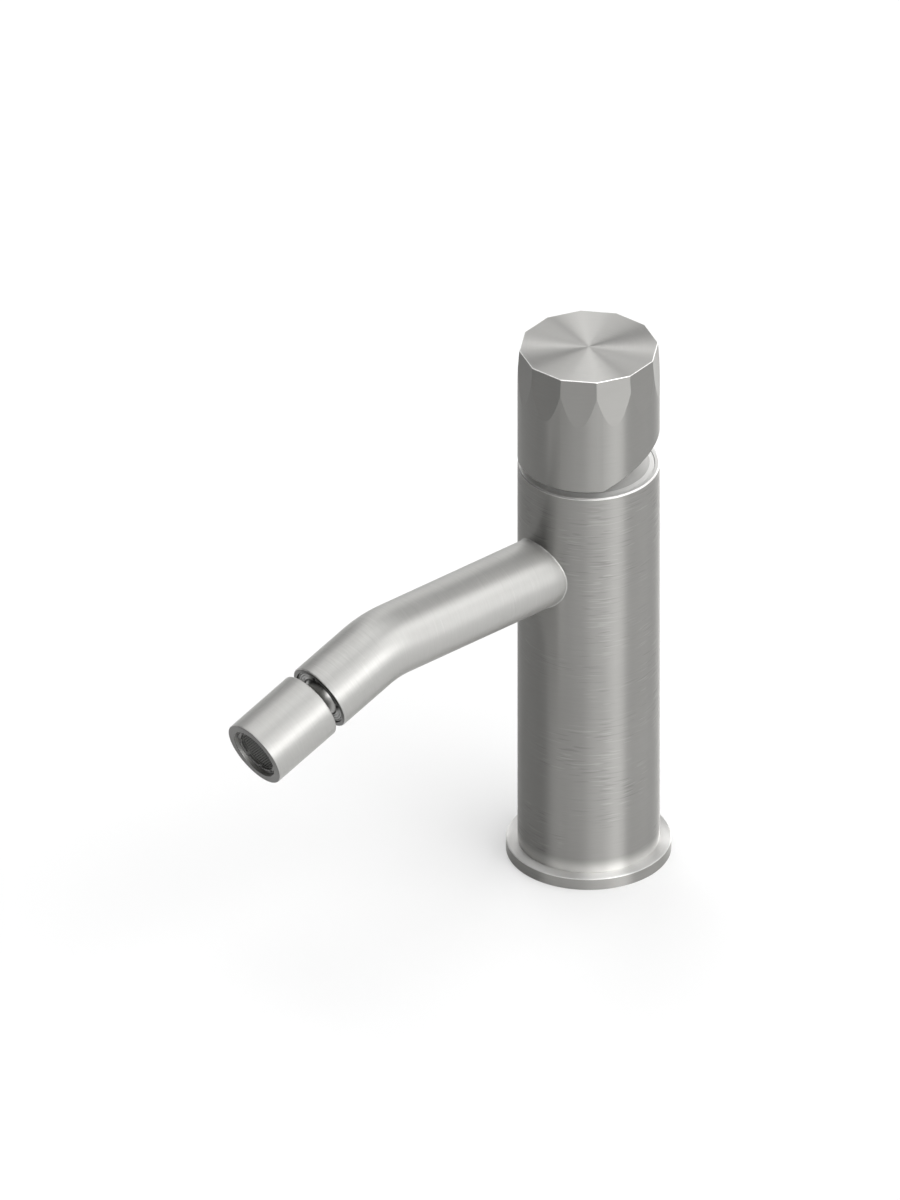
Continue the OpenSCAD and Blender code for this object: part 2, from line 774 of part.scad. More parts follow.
module aerator_housing() {
  color(grey_plastic) difference() {
    at_ball(aerator_s) cylinder(r = aerator_r, h = aerator_end - aerator_s);
    at_ball(aerator_s - cut) cylinder(r = aerator_ir - shelf, h = aerator_end - aerator_s + 2 * cut);
    at_ball(aerator_s - cut) cylinder(r = aerator_ir, h = jet_s + jet_t - aerator_s + cut);
    at_ball(screen_s) cylinder(r = aerator_ir, h = barrel_l);
    for (i = [0:notches - 1]) at_ball(aerator_end - notch_depth) rotate([0, 0, notch_turn + i * 360 / notches])
      translate([aerator_ir - cut, -notch_w / 2, 0]) cube([aerator_wall / 2 + cut, notch_w, notch_depth + cut]);
  }
}

module outlet_screen() {
  pitch = screen_r / (screen_rings + screen_edge);
  color(mesh_steel) at_ball(screen_s) difference() {
    cylinder(r = screen_r, h = screen_t);
    for (p = hex_grid(screen_rings, pitch)) translate([p[0], p[1], -cut]) rotate([0, 0, 30])
      cylinder(r = pitch * screen_open, h = screen_t + 2 * cut, $fn = 6);
  }
}

base_flange();
base_seal();
column_shell();
valve_core();
spout_tube();
spout_seal();
cartridge_base();
port_seals();
disc_gasket();
fixed_disc();
cartridge_housing();
cartridge_nut();
cover_cap();
cap_ring();
swivel_seat();
swivel_nut();
rotor();
pivot_pin();
moving_disc();
disc_carrier();
stem();
knob_insert();
grub_screw();
knob_shell();
glide_ring();
ball_seal();
ball_stud();
outlet_barrel();
inlet_strainer();
outlet_gasket();
jet_plate();
aerator_housing();
outlet_screen();
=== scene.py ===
import json
import math

import bmesh
import bpy
from mathutils import Matrix, Vector


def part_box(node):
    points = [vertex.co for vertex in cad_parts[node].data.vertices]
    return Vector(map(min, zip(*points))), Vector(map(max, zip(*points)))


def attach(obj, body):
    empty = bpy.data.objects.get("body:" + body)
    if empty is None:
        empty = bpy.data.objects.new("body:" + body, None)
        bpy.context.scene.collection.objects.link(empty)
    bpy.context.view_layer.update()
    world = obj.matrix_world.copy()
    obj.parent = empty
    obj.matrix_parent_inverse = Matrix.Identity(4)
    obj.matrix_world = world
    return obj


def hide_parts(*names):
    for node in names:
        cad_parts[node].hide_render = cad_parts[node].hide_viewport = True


# Looks of a deck mounted mixer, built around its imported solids.
# Sizes are in millimetres until a mesh is made. A profile is a list of (radius, height).

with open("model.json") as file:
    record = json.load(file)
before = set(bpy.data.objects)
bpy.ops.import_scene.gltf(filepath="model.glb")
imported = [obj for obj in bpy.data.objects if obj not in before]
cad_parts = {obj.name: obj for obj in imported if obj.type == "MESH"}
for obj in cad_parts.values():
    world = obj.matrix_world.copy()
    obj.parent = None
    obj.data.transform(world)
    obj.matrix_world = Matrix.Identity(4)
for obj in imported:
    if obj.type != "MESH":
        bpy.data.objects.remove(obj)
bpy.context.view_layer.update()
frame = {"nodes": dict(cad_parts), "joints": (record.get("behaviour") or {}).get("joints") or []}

MM = 0.001
TURN = 2 * math.pi


def corners(node):
    """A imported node's lowest and highest corners in millimetres, without the small error of its facets."""
    return [[round(v / MM, 2) for v in corner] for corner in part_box(node)]


# Fillets of edges that are only broken, from the keenest on
KEEN = 0.05
HAIR = 0.06
FINE = 0.1
CRISP = 0.12
SOFT = 0.3

# The foot, with its seal's groove below and a dip under the column's wall
FOOT_R, _, FOOT_T = corners("base_flange")[1]
FOOT_HOLE_R = 16.1
FOOT_EDGE = 0.35
FOOT_BASE_EDGE = 0.15
SEAL_IR = 18.9
SEAL_OR = 22.1
SEAL_DEPTH = 2.0
DIP_OUTSET = 0.2
DIP_DEPTH = 0.4
REST_DROP = 0.05

# The column
COLUMN_R, _, COLUMN_TOP = corners("column_shell")[1]
COLUMN_IR = 20.0
COLUMN_GAP = 0.02
COLUMN_MIDDLE = 70.0
RIM_CHAMFER = 0.42

# The domed cap under the knob
CAP_R = 19.96
CAP_BASE_Z = 130.15
CAP_CEILING_Z = 134.8
CAP_SHOULDER_Z = 135.3
CAP_EDGE_Z = 135.95
CAP_RISE = 1.65
CAP_HOLE_R = 11.5
CAP_BORE_R = 17.1
CAP_LIP_R = 18.3
CAP_RINGS = 9
CAP_RING_STEP = 0.8

# The spout: its axis, the corner of its bend and the length beyond it
SPOUT_Z = sum(z for x, y, z in corners("spout_seal")) / 2
SPOUT_R, SPOUT_ROOT_Y, _ = corners("spout_tube")[1]
SPOUT_IR = 9.5
SPOUT_REACH = 84.1
SPOUT_BEND = math.radians(20)
BEND_R = 33.0
SPOUT_TAIL = 25.7
STRAIGHT_STEPS = 8
BEND_STEPS = 24
TAIL_STEPS = 4
LIP_EDGE = 0.45
LIP_STEPS = 6

# The bead where the spout leaves the column, which closes on itself inside the wall
BEAD_WIDTH = 0.22
BEAD_STEPS = 6
BEAD_SINK = 0.6
BEAD_SHRINK = 0.99

# The knob, turned clockwise from above as it stands at rest
KNOB_TURN = math.radians(-34.7)
(_, _, KNOB_Z), (KNOB_R, _, KNOB_TOP) = corners("knob_shell")
KNOB_BEVEL = 0.22
KNOB_FILLET = 0.2
FACETS = 12
FACET_DEPTH = 1.12
FACET_SLOPE = math.radians(4)
FACET_FADE = 0.08
RELIEF_SLOPE = math.radians(26.85)
RELIEF_START = 2.0
SKIRT_IR = 18.2
SKIRT_TOP = 152.0
SKIRT_EDGE = 0.15
POCKET_R = 13.98
POCKET_TOP = 166.05
POCKET_EDGE = 0.2

# The knob's skin: the places of its top's rings as shares of its radius, the columns on a facet, and the
# gaps beside a corner and beside a kink in degrees
TOP_RINGS = (0, 0.02, 0.08, 0.2, 0.35, 0.5, 0.65, 0.8, 0.92)
BEVEL_STEPS = 4
SIDE_STEPS = 4
FACET_COLUMNS = 12
CORNER_GAP = 0.3
KINK_GAP = 0.2

# The ball and its stud, measured from the ball's centre along the outlet's axis
BALL_R = 7.2
BALL_BORE_R = 3.0
BALL_TOP = 5.3
NECK_R = 4.6
STUD_R = 6.0
STUD_TOP = 7.6
STUD_END = 11.6

# The outlet's barrel, from the same centre
BARREL_TOP = 7.2
BARREL_MIDDLE = 19.0
BARREL_END = 31.5
BARREL_NECK_R = 6.1
MOUTH_R = 8.4
MOUTH_EDGE = 0.25

# The swivel ring: its cup for the ball, its turned grooves and its wrench slots
RING_R = corners("swivel_nut")[1][0]
RING_BACK = -1.5
RING_FACE = 3.2
RING_EDGE = 0.15
RING_CUP_R = 7.4
RING_CUP_EDGE = 0.12
RING_SLOTS = 4
RING_SLOT_W = 1.3
RING_SLOT_DEPTH = 0.5
GROOVE_RADII = (9.1, 8.35, 7.6)
GROOVE_W = 0.35
GROOVE_DEPTH = 0.35
GROOVE_SLANT = 0.05

# The aerator's housing and its key's notches
AERATOR_R = corners("aerator_housing")[1][0]
AERATOR_IR = 6.8
AERATOR_SHELF = 0.8
AERATOR_BACK = 16.4
AERATOR_LEDGE = 19.9
AERATOR_END = 30.4
AERATOR_EDGE = 0.15
TRACK_OUT = 0.35
TRACK_IN = 0.6
TRACK_DEPTH = 0.25
TRACK_SLANT = 0.05
NOTCHES = 8
NOTCH_W = 1.4
NOTCH_DEPTH = 0.45
NOTCH_TURN = math.radians(35)
NOTCH_STEP = 0.06

# The woven screen in the mouth, whose wires end inside its rim
SCREEN_R = AERATOR_IR - 0.1
SCREEN_BACK = 28.4
SCREEN_FACE = 29.75
SCREEN_RIM = 0.35
WIRE_PITCH = 0.5
WIRE_R = 0.11
WIRE_DROP = 0.4
WIRE_SPAN = SCREEN_R - 0.2
WIRE_SIDES = 6
WIRE_STEPS = 4

# The camera, from the photograph's parallel view
CAMERA_TURN = math.radians(48.73)
CAMERA_TILT = math.radians(31.5)
CAMERA_SPAN = 362.2
CAMERA_SHIFT = (-41.85, 74.5)
CAMERA_DISTANCE = 1200
CAMERA_SIGHT = 20000

# The studio's soft lights: azimuth from +X towards +Y, elevation, angular radius, soft edge, brightness
LIGHTS = [
    (0, 10, 14, 8, 6.0),
    (30, 10, 14, 8, 0.5),
    (60, 10, 14, 8, 0.9),
    (90, 10, 14, 8, 1.3),
    (110, 7, 10, 8, 4.8),
    (150, 10, 14, 8, 1.3),
    (270, 10, 14, 8, 2.0),
    (300, 10, 14, 8, 2.6),
    (330, 10, 14, 8, 4.2),
    (30, 40, 16, 10, 2.0),
    (60, 36, 14, 8, 2.0),
    (96, 31, 18, 10, 0.8),
    (150, 36, 14, 8, 1.5),
    (0, 62, 14, 8, 1.8),
    (180, 62, 14, 8, 2.3),
    (0, 90, 14, 8, 3.2),
]
FLOOR_COLOR = (0.7, 0.7, 0.7)
FLOOR_GLOW = 0.25
FLOOR_SIZE = 12000

# Colours of the steels, and the pale colour of the painted reflection of the foot on the column's lowest
# millimetres
STEEL = (0.34, 0.336, 0.324)
# The spout's steel is paler than the column's, as painted light that brightens its highlight
SPOUT_STEEL_PAINTED_PALER = (0.46, 0.457, 0.444)
FOOT_REFLECTION_PAINT = (1, 0.99, 0.96)
FOOT_REFLECTION_PAINT_HEIGHT = 5.0


# Camera

def make_camera():
    """A parallel view whose frame is shifted from the origin along its own right and up."""
    sin_t, cos_t = math.sin(CAMERA_TURN), math.cos(CAMERA_TURN)
    sin_e, cos_e = math.sin(CAMERA_TILT), math.cos(CAMERA_TILT)
    right = Vector((cos_t, sin_t, 0))
    back = Vector((sin_t * cos_e, -cos_t * cos_e, sin_e))
    up = back.cross(right)
    camera = bpy.data.objects.new("camera", bpy.data.cameras.new("camera"))
    bpy.context.scene.collection.objects.link(camera)
    camera.data.type = "ORTHO"
    camera.data.ortho_scale = CAMERA_SPAN * MM
    camera.data.clip_end = CAMERA_SIGHT * MM
    target = (right * CAMERA_SHIFT[0] + up * CAMERA_SHIFT[1]) * MM
    camera.location = target + back * CAMERA_DISTANCE * MM
    camera.rotation_mode = "QUATERNION"
    camera.rotation_quaternion = (-back).to_track_quat("-Z", "Y")
    bpy.context.scene.camera = camera


# Profiles

def rounded(points, closed=True, steps=4):
    """Profile points (radius, height, fillet) with each corner turned into a small arc."""
    out = []
    last = len(points) - 1
    for i, (r, z, fillet) in enumerate(points):
        corner = Vector((r, z))
        if not fillet or (not closed and i in (0, last)):
            out.append((r, z))
            continue
        back = Vector(points[i - 1][:2]) - corner
        ahead = Vector(points[(i + 1) % len(points)][:2]) - corner
        half = back.angle(ahead) / 2
        cut = min(fillet / math.tan(half), back.length * 0.45, ahead.length * 0.45)
        radius = cut * math.tan(half)
        back.normalize()
        ahead.normalize()
        centre = corner + (back + ahead).normalized() * (radius / math.sin(half))
        start = corner + back * cut - centre
        end = corner + ahead * cut - centre
        sweep = start.angle(end)
        for k in range(steps + 1):
            t = k / steps
            arm = (start * math.sin((1 - t) * sweep) + end * math.sin(t * sweep)) / math.sin(sweep)
            out.append(tuple(centre + arm))
    return out


def between(profile, test):
    """First and last of the profile's points that pass the test."""
    hits = [i for i, point in enumerate(profile) if test(*point)]
    return hits[0], hits[-1]


def even_angles(count):
    return [TURN * j / count for j in range(count)]


def on_circle(r, a, z):
    return Vector((r * math.cos(a), r * math.sin(a), z))


# Meshes

def add_object(name, bm, *materials):
    """A new object in the scene, with the bmesh as its mesh."""
    mesh = bpy.data.meshes.new(name)
    bm.to_mesh(mesh)
    bm.free()
    for material in materials:
        mesh.materials.append(material)
    thing = bpy.data.objects.new(name, mesh)
    bpy.context.scene.collection.objects.link(thing)
    return thing


def smooth_by_area(mesh):
    """Vertex normals weighted by face area, so flats stay flat beside their rounded edges."""
    sums = [Vector() for _ in mesh.vertices]
    for face in mesh.polygons:
        face.use_smooth = True
        for v in face.vertices:
            sums[v] += face.normal * face.area
    mesh.normals_split_custom_set_from_vertices([n.normalized() for n in sums])


def skin(rings, angles, girth, closed, levels, painted_light_and_shade):
    """A skin over rings of points, as a bmesh. Its flow attribute is the straightened place that the brushing
    follows, with the ring's distance along the skin, or the given levels, as its third value."""
    bm = bmesh.new()
    flow = bm.verts.layers.float_vector.new("flow")
    grain = bm.loops.layers.uv.new("grain")
    count = len(angles)
    along = [0.0]
    for a, b in zip(rings, rings[1:] + rings[:1]):
        along.append(along[-1] + sum((p - q).length for p, q in zip(a, b)) / count)
    rows = []
    for i, ring in enumerate(rings):
        heights = levels[i] if levels else [along[i]] * count
        if max((p - ring[0]).length for p in ring) < 1e-6:
            v = bm.verts.new(ring[0] * MM)
            v[flow] = Vector((0, 0, heights[0])) * MM
            rows.append([v] * count)
            continue
        row = []
        for p, a, s in zip(ring, angles, heights):
            v = bm.verts.new(p * MM)
            v[flow] = on_circle(girth, a, s) * MM
            row.append(v)
        rows.append(row)
    for i in range(len(rows) if closed else len(rows) - 1):
        low, high = rows[i], rows[(i + 1) % len(rows)]
        for j in range(count):
            k = (j + 1) % count
            end = angles[k] if k else TURN + angles[0]
            used = []
            for corner in ((low[j], along[i], angles[j]), (low[k], along[i], end),
                           (high[k], along[i + 1], end), (high[j], along[i + 1], angles[j])):
                if all(corner[0] != u[0] for u in used):
                    used.append(corner)
            if len(used) < 3:
                continue
            face = bm.faces.new([corner[0] for corner in used])
            for index, (_, first, last) in enumerate(painted_light_and_shade):
                if first <= i < last:
                    face.material_index = index + 1
            for loop, corner in zip(face.loops, used):
                loop[grain].uv = (corner[1] * MM * 10, corner[2] / TURN)
    bmesh.ops.recalc_face_normals(bm, faces=bm.faces)
    return bm


def make_piece(name, body, material, rings, angles, girth, closed=True, stands_for=(), levels=None,
               painted_light_and_shade=()):
    """A piece skinned over rings, with further materials, each given with the first and last of the rings
    between which it lies: copies of the steels painted paler or darker as painted light and shade."""
    bm = skin(rings, angles, girth, closed, levels, painted_light_and_shade)
    piece = add_object(name, bm, material, *[painted_range[0] for painted_range in painted_light_and_shade])
    smooth_by_area(piece.data)
    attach(piece, body)
    if stands_for:
        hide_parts(*stands_for)


def lathe(name, body, material, profile, place=Matrix(), segments=160, stands_for=(), painted_light_and_shade=()):
    """A piece turned from a closed profile."""
    angles = even_angles(segments)
    rings = [[place @ on_circle(r, a, z) for a in angles] for r, z in profile]
    girth = max(r for r, z in profile)
    make_piece(name, body, material, rings, angles, girth, stands_for=stands_for, painted_light_and_shade=painted_light_and_shade)


def slotted(name, body, material, whole, cut, centres, half, place=Matrix(), stands_for=()):
    """A lathed piece whose profile changes to a second one, with as many points, in slots of a half width in
    radians."""
    step, seam = math.radians(3), math.radians(0.15)
    columns = []
    for c, after in zip(centres, centres[1:] + [centres[0] + TURN]):
        columns += [(c - half - seam, whole), (c - half + seam, cut), (c, cut)]
        columns += [(c + half - seam, cut), (c + half + seam, whole)]
        a = c + half + step
        while a < after - half - step:
            columns.append((a, whole))
            a += step
    angles = [a for a, _ in columns]
    rings = [[place @ on_circle(profile[i][0], a, profile[i][1]) for a, profile in columns]
             for i in range(len(whole))]
    girth = max(r for r, z in whole)
    make_piece(name, body, material, rings, angles, girth, stands_for=stands_for)


# Materials

class Nodes:
    """A node tree, with short ways to add to it."""

    def __init__(self, tree):
        self.tree = tree

    def set(self, node, values):
        for key, value in values.items():
            if isinstance(value, bpy.types.NodeSocket):
                self.tree.links.new(value, node.inputs[key])
            else:
                node.inputs[key].default_value = value

    def add(self, kind, values=None, **options):
        node = self.tree.nodes.new("ShaderNode" + kind)
        for key, value in options.items():
            setattr(node, key, value)
        self.set(node, values or {})
        return node

    def math(self, operation, a, b):
        return self.add("Math", {0: a, 1: b}, operation=operation).outputs[0]

    def vector(self, operation, a, b):
        node = self.add("VectorMath", {0: a, 1: b}, operation=operation)
        return node.outputs["Value" if operation == "DOT_PRODUCT" else "Vector"]

    def remap(self, value, low, high, to_low, to_high, **options):
        """A value's range brought to another, and held at its ends."""
        node = self.add("MapRange", {"Value": value, "From Min": low, "From Max": high,
                                     "To Min": to_low, "To Max": to_high}, **options)
        return node.outputs[0]


class Shader(Nodes):
    """A material's node tree."""

    def __init__(self, name, base, metallic, roughness):
        self.material = bpy.data.materials.new(name)
        self.material.use_nodes = True
        super().__init__(self.material.node_tree)
        self.main = self.tree.nodes["Principled BSDF"]
        self.set(self.main, {"Base Color": (*base, 1), "Metallic": metallic, "Roughness": roughness})

    def noise(self, place, stretch, detail=2.0, shift=0.0):
        """Noise of a frequency per metre in each direction."""
        scaled = self.vector("MULTIPLY", place, stretch)
        moved = self.vector("ADD", scaled, (shift, shift, shift))
        return self.add("TexNoise", {"Vector": moved, "Scale": 1.0, "Detail": detail}).outputs[0]

    def spread(self, noise, low, high):
        """A noise, most of which lies between 0.3 and 0.7, brought to another range."""
        return self.remap(noise, 0.3, 0.7, low, high)

    def tone(self, value, dark, light):
        """A mix of two colours, of which either may be a socket."""
        ends = {"A": dark, "B": light}
        for key, color in ends.items():
            if not isinstance(color, bpy.types.NodeSocket):
                ends[key] = (*color, 1)
        return self.add("Mix", {"Factor": value, **ends}, data_type="RGBA").outputs["Result"]

    def bump(self, height, strength, depth):
        """Bump whose depth is in millimetres."""
        node = self.add("Bump", {"Height": height, "Strength": strength, "Distance": depth * MM})
        self.set(self.main, {"Normal": node.outputs[0]})


def shaded(color, share):
    return [c * share for c in color]


def across(frequency, width):
    """Frequencies for a noise of thin lines: low along them, and one line per width in millimetres across."""
    return frequency, frequency, 1 / MM / width


def brushed(name, color, roughness, anisotropy, lines, scratches, streak=0.5, shift=0.0, painted_foot_reflection=0.0):
    """Steel brushed across the grain map's U direction. Lines and scratches are the strengths of its fine
    lines and of the deeper marks in its worn patches, streak is the lines' width, shift takes each steel to
    its own place in the noises, and the foot's painted reflection makes the skin's first millimetres paler."""
    s = Shader(name, color, 1.0, roughness)
    flow = s.add("Attribute", attribute_name="flow").outputs["Vector"]
    sway = s.math("MULTIPLY", s.noise(flow, (60, 60, 70), 1.0, shift + 13), 1.1 * MM)
    place = s.vector("ADD", flow, s.add("CombineXYZ", {"Z": sway}).outputs[0])
    fine = s.noise(place, across(260, 0.16), 2.0, shift)
    streaks = s.noise(place, across(110, streak), 3.0, shift + 7)
    cloud = s.noise(place, (22, 22, 30), 2.0, shift + 3)
    worn = s.remap(s.noise(flow, (45, 45, 45), 1.0, shift + 41), 0.45, 0.6, 0, scratches)

    def marks(own_shift):
        deep = s.noise(place, across(150, 0.5), 0.0, shift + own_shift)
        return s.math("MULTIPLY", s.remap(deep, 0.64, 0.74, 0, 1), worn)

    light, dark = marks(17), marks(29)
    ground = s.math("ADD", s.spread(streaks, 0.5 - lines, 0.5 + lines), s.spread(cloud, -0.04, 0.04))
    marked = s.math("SUBTRACT", s.math("ADD", ground, light), dark)
    base = s.tone(marked, shaded(color, 0.75), shaded(color, 1.25))
    # Painted reflection of the foot: the skin's lowest millimetres are paled towards a light colour.
    if painted_foot_reflection:
        height = s.add("SeparateXYZ", {0: flow}).outputs["Z"]
        reflection_share = s.remap(height, 0.0, FOOT_REFLECTION_PAINT_HEIGHT * MM, painted_foot_reflection, 0.0, interpolation_type="SMOOTHSTEP")
        base = s.tone(reflection_share, base, FOOT_REFLECTION_PAINT)
    s.set(s.main, {
        "Base Color": base,
        "Roughness": s.spread(fine, roughness - 0.02, roughness + 0.02),
        "Anisotropic": anisotropy,
        "Tangent": s.add("Tangent", direction_type="UV_MAP", uv_map="grain").outputs[0],
    })
    s.bump(s.math("ADD", s.math("MULTIPLY", fine, 0.35), s.math("SUBTRACT", light, dark)), 0.12, 0.03)
    return s.material


def plain(name, color, metallic, roughness, grain, contrast, strength=0.2):
    """A moulded, cast or ground surface, with a grain of a frequency per metre and the bump's strength."""
    s = Shader(name, color, metallic, roughness)
    place = s.add("TexCoord").outputs["Object"]
    fine = s.noise(place, (grain,) * 3, 3.0)
    cloud = s.noise(place, (grain / 20,) * 3, 2.0, 5)
    both = s.math("ADD", s.spread(fine, 0, 0.5), s.spread(cloud, 0, 0.5))
    s.set(s.main, {
        "Base Color": s.tone(both, shaded(color, 1 - contrast), shaded(color, 1 + contrast)),
        "Roughness": s.spread(fine, roughness - 0.04, roughness + 0.04),
    })
    s.bump(fine, strength, 0.03)
    return s.material


# Steels of the large forms: colour, roughness, anisotropy, lines, scratches, streak and shift
# The column's steel carries the foot's painted reflection, paler near its base.
steel_column = brushed("steel_column", STEEL, 0.50, 1.0, 0.03, 0.3, painted_foot_reflection=0.6)
# The spout's paler steel is painted light.
steel_spout_painted_light = brushed("steel_spout_painted_light", SPOUT_STEEL_PAINTED_PALER, 0.48, 0.5, 0.05, 0.08, 0.35, 11)
steel_knob = brushed("steel_knob", (0.30, 0.297, 0.286), 0.45, 1.0, 0.02, 0.05, 0.5, 23)
steel_foot = brushed("steel_foot", STEEL, 0.45, 1.0, 0.04, 0.10, 0.4, 31)
# The cap's steel is paler than the column's: painted light against the shade under the knob.
steel_cap_painted_light = brushed("steel_cap_painted_light", (0.66, 0.655, 0.64), 0.55, 0.6, 0.05, 0.05, 0.4, 47)
steel_ball = brushed("steel_ball", (0.36, 0.36, 0.35), 0.32, 0.6, 0.05, 0.1, 0.4, 59)
steel_ring = brushed("steel_ring", (0.26, 0.26, 0.255), 0.30, 0.6, 0.05, 0.1, 0.4, 61)

# Further copies of the steels, painted: paler ones on tops, edges and rims as painted light and highlights,
# and a dark one on end faces as painted shade
# The knob's top: a paler copy of the knob's steel, as painted light.
steel_crown_painted_light = brushed("steel_crown_painted_light", (0.51, 0.505, 0.49), 0.45, 1.0, 0.02, 0.05, 0.5, 23)
# The foot's top: a paler copy of the steel, as painted light.
steel_top_painted_light = brushed("steel_top_painted_light", (0.76, 0.755, 0.74), 0.45, 1.0, 0.03, 0.05, 0.4, 37)
# The knob's bevel: a near-white copy of the steel, as a painted highlight.
steel_edge_painted_highlight = brushed("steel_edge_painted_highlight", (0.90, 0.895, 0.88), 0.30, 0.4, 0.02, 0.0, 0.4, 53)
# The rim's chamfer: a paler copy of the steel, as a painted highlight.
steel_rim_painted_highlight = brushed("steel_rim_painted_highlight", (0.66, 0.655, 0.64), 0.42, 0.4, 0.02, 0.0, 0.4, 71)
# The rim's flat and the cap's outer ring: a near-white copy of the steel, as painted light.
steel_lip_painted_light = brushed("steel_lip_painted_light", (0.92, 0.915, 0.90), 0.6, 0.2, 0.02, 0.0, 0.4, 83)
# End faces and bores: a dark copy of the steel, as painted shade.
steel_face_painted_shade = brushed("steel_face_painted_shade", (0.12, 0.119, 0.115), 0.40, 0.6, 0.05, 0.1, 0.3, 67)

# The other materials: colour, metallic, roughness, grain, contrast and bump
chrome = plain("chrome", (0.62, 0.62, 0.61), 1.0, 0.10, 900, 0.03, 0.05)
dark_steel = plain("dark_steel", (0.12, 0.12, 0.115), 1.0, 0.42, 2500, 0.15)
brass = plain("brass", (0.66, 0.49, 0.22), 1.0, 0.32, 1500, 0.08)
alloy = plain("alloy", (0.42, 0.425, 0.43), 1.0, 0.5, 1800, 0.08, 0.4)
rubber = plain("rubber", (0.02, 0.02, 0.02), 0.0, 0.7, 2600, 0.25, 0.4)
white_plastic = plain("white_plastic", (0.75, 0.74, 0.70), 0.0, 0.42, 1600, 0.04, 0.2)
dark_plastic = plain("dark_plastic", (0.045, 0.045, 0.045), 0.0, 0.45, 1600, 0.15, 0.25)
grey_plastic = plain("grey_plastic", (0.055, 0.054, 0.052), 0.0, 0.28, 1600, 0.12, 0.15)
ceramic = plain("ceramic", (0.82, 0.81, 0.76), 0.0, 0.22, 1200, 0.03, 0.1)

NODE_MATERIALS = {
    rubber: ["base_seal", "spout_seal", "port_seals", "disc_gasket", "cap_ring", "ball_seal",
             "outlet_gasket"],
    brass: ["valve_core", "cartridge_nut", "swivel_seat"],
    white_plastic: ["cartridge_base", "cartridge_housing", "glide_ring", "inlet_strainer"],
    dark_plastic: ["rotor", "disc_carrier", "jet_plate"],
    grey_plastic: ["aerator_housing"],
    ceramic: ["fixed_disc", "moving_disc"],
    chrome: ["pivot_pin", "stem", "swivel_nut", "ball_stud"],
    alloy: ["knob_insert"],
    dark_steel: ["grub_screw", "outlet_screen"],
    steel_foot: ["base_flange", "column_shell", "spout_tube", "outlet_barrel", "knob_shell", "cover_cap"],
}


def dress_solids():
    """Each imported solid's own material."""
    for material, names in NODE_MATERIALS.items():
        for name in names:
            mesh = frame["nodes"][name].data
            mesh.materials.clear()
            mesh.materials.append(material)


# Column, foot and cap

def make_foot():
    """The foot ring, with a paler copy of its steel painted on its top as painted light."""
    seat_r = COLUMN_R - DIP_OUTSET
    rest = FOOT_T - REST_DROP
    profile = rounded([
        (FOOT_HOLE_R, 0, FINE), (SEAL_IR, 0, FINE), (SEAL_IR, SEAL_DEPTH, FINE), (SEAL_OR, SEAL_DEPTH, FINE),
        (SEAL_OR, 0, FINE), (FOOT_R, 0, FOOT_BASE_EDGE), (FOOT_R, FOOT_T, FOOT_EDGE), (seat_r, FOOT_T, KEEN),
        (seat_r - DIP_DEPTH, FOOT_T - DIP_DEPTH, FINE), (COLUMN_IR, rest, KEEN), (FOOT_HOLE_R, rest, FINE),
    ])
    # The top's rings take the paler steel: painted light.
    top = between(profile, lambda r, z: z > FOOT_T - FOOT_EDGE - 0.01 and r > seat_r - 0.1)
    lathe("foot_ring", "body", steel_foot, profile, stands_for=["base_flange"], segments=192,
          painted_light_and_shade=[(steel_top_painted_light, *top)])


def make_column():
    """The column's tube, with a paler steel painted on its rim's chamfer as a painted highlight and a still
    paler one on the rim's flat as painted light.
    """
    base = FOOT_T + COLUMN_GAP
    profile = rounded([
        (COLUMN_R, base, CRISP), (COLUMN_R, COLUMN_MIDDLE, 0), (COLUMN_R, COLUMN_TOP - RIM_CHAMFER, CRISP),
        (COLUMN_R - RIM_CHAMFER, COLUMN_TOP, FINE), (COLUMN_IR, COLUMN_TOP, HAIR), (COLUMN_IR, base, CRISP),
    ])
    # The chamfer gets a painted highlight and the flat painted light.
    chamfer = between(profile, lambda r, z: z > COLUMN_TOP - RIM_CHAMFER - 0.1)
    flat = between(profile, lambda r, z: z > COLUMN_TOP - 0.08 and r < COLUMN_R - RIM_CHAMFER + 0.05)
    lathe("column_tube", "body", steel_column, profile, stands_for=["column_shell"],
          segments=224, painted_light_and_shade=[(steel_rim_painted_highlight, *chamfer), (steel_lip_painted_light, *flat)])


def make_cap():
    """The cap's shallow dome, open in the middle for the stem, in a paler steel as painted light against the
    shade under the knob, with a still paler steel painted on its outer ring as painted light.
    """
    low = ((CAP_R ** 2 - CAP_HOLE_R ** 2) / CAP_RISE - CAP_RISE) / 2

    def dome(r):
        return CAP_EDGE_Z - low + math.sqrt(low ** 2 + CAP_R ** 2 - r ** 2)

    outermost, innermost = CAP_R - 0.76, CAP_HOLE_R + 0.7
    radii = [outermost - CAP_RING_STEP * k for k in range(CAP_RINGS)] + [innermost]
    profile = rounded([
        (CAP_R, CAP_BASE_Z, FINE), (CAP_R, CAP_SHOULDER_Z, 0), (CAP_R, dome(CAP_R), HAIR),
        *[(r, dome(r), 0) for r in radii],
        (CAP_HOLE_R, dome(CAP_HOLE_R), SOFT), (CAP_HOLE_R, CAP_CEILING_Z, FINE),
        (CAP_BORE_R, CAP_CEILING_Z, SOFT), (CAP_BORE_R, CAP_BASE_Z, FINE),
    ])
    # The outer ring takes the near-white steel: painted light.
    lip = between(profile, lambda r, z: z > CAP_SHOULDER_Z + 0.2 and r > CAP_LIP_R)
    lathe("dome_cap", "body", steel_cap_painted_light, profile, stands_for=["cover_cap"], segments=192,
          painted_light_and_shade=[(steel_lip_painted_light, *lip)])


# Spout

